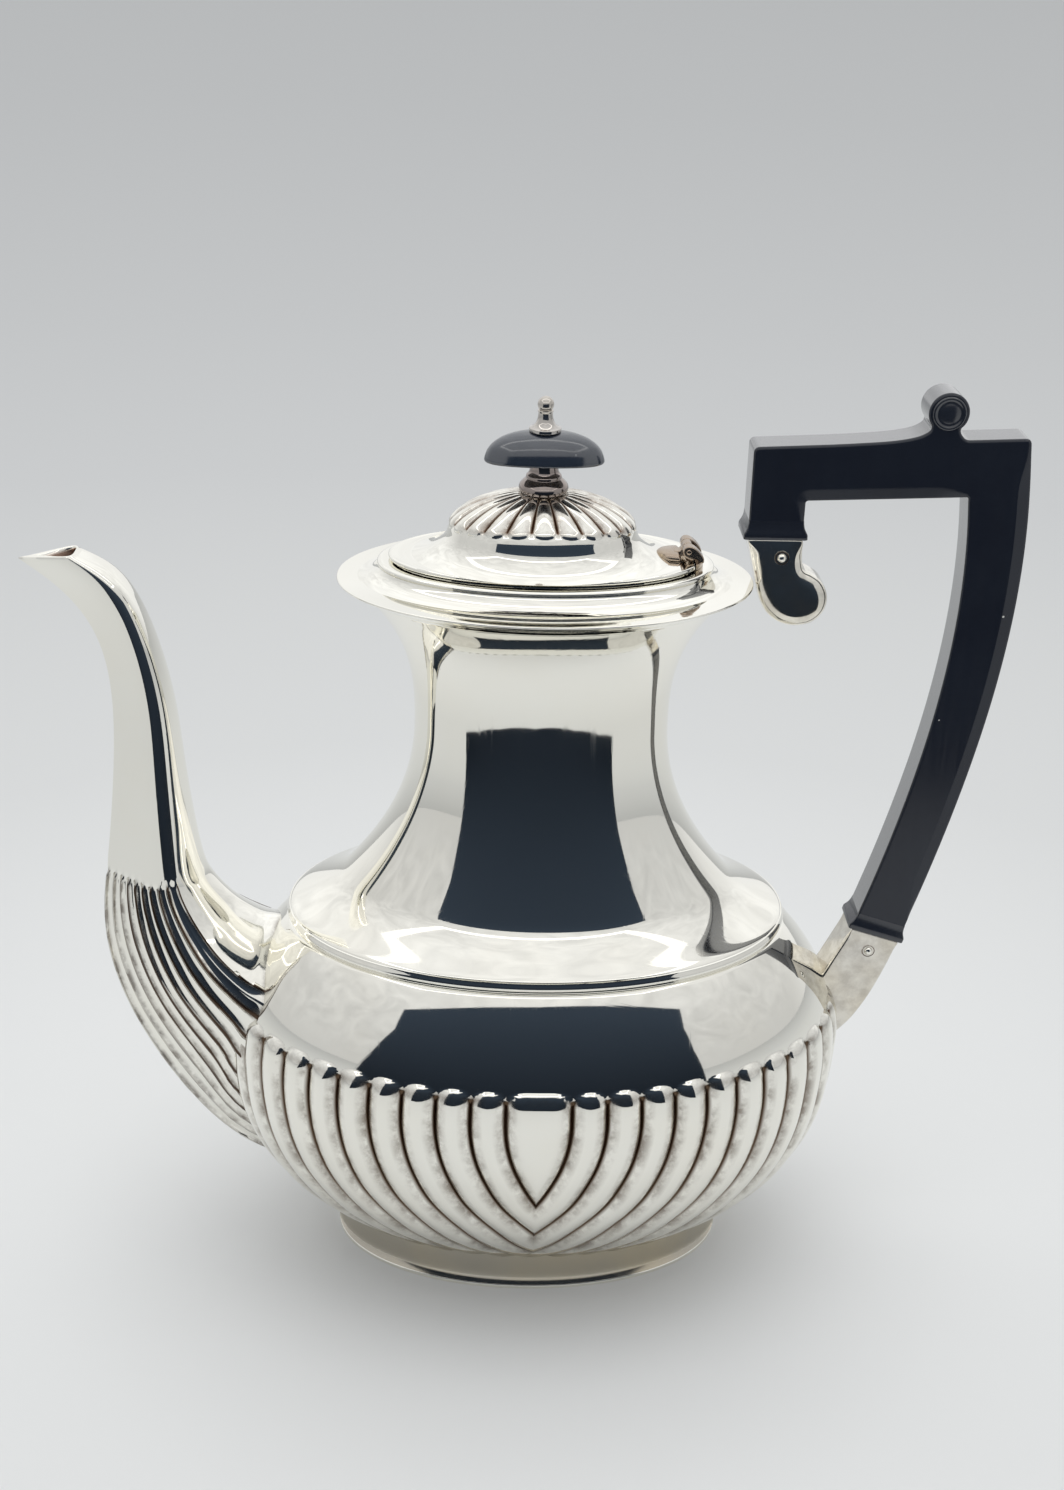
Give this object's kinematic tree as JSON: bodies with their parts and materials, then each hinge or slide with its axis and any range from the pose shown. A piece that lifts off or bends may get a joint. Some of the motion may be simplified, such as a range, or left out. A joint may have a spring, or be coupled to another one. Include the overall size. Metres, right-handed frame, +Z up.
{
  "type": "coffee pot",
  "caption": "Oval half-fluted silver plated coffee pot with a swan-neck spout, a black squared handle in metal sockets and a hinged domed lid with a black knob.",
  "frame": {"origin": "middle of the bounding box on the standing plane, midway between the spout's tip and the back of the handle", "axes": "+Z up, +X from the spout toward the handle, +Y across the pot"},
  "size_m": [0.2288, 0.1058, 0.2247],
  "materials": {
    "polished silver plate": "polished",
    "tarnished silver plate": "satin, tarnished",
    "black handle": "satin",
    "black knob": "gloss"
  },
  "bodies": {
    "pot": {"foot_wire": "polished silver plate", "foot_ring": "tarnished silver plate", "base_plate": "tarnished silver plate", "lower_bowl": "polished silver plate", "shoulder_band": "polished silver plate", "upper_body": "polished silver plate", "rim_flange": "polished silver plate", "lid_seat_ring": "polished silver plate", "spout": "polished silver plate", "upper_socket": "polished silver plate", "lower_socket": "tarnished silver plate", "handle": "black handle", "upper_handle_pin": "polished silver plate", "lower_handle_pin": "polished silver plate", "hinge_body_leaf": "tarnished silver plate", "hinge_pin": "tarnished silver plate"},
    "lid": {"lid": "polished silver plate", "lid_bezel": "polished silver plate", "hinge_lid_leaf": "tarnished silver plate", "finial_base": "polished silver plate", "finial_knob": "black knob", "finial_cap": "polished silver plate", "finial_washer": "tarnished silver plate", "finial_nut": "tarnished silver plate"}
  },
  "joints": [
    {"name": "lid_hinge", "type": "hinge", "parent": "pot", "child": "lid", "pos_m": [0.0379, 0, 0.1873], "axis": [0, 1, 0], "range_deg": [0, 68]}
  ]
}
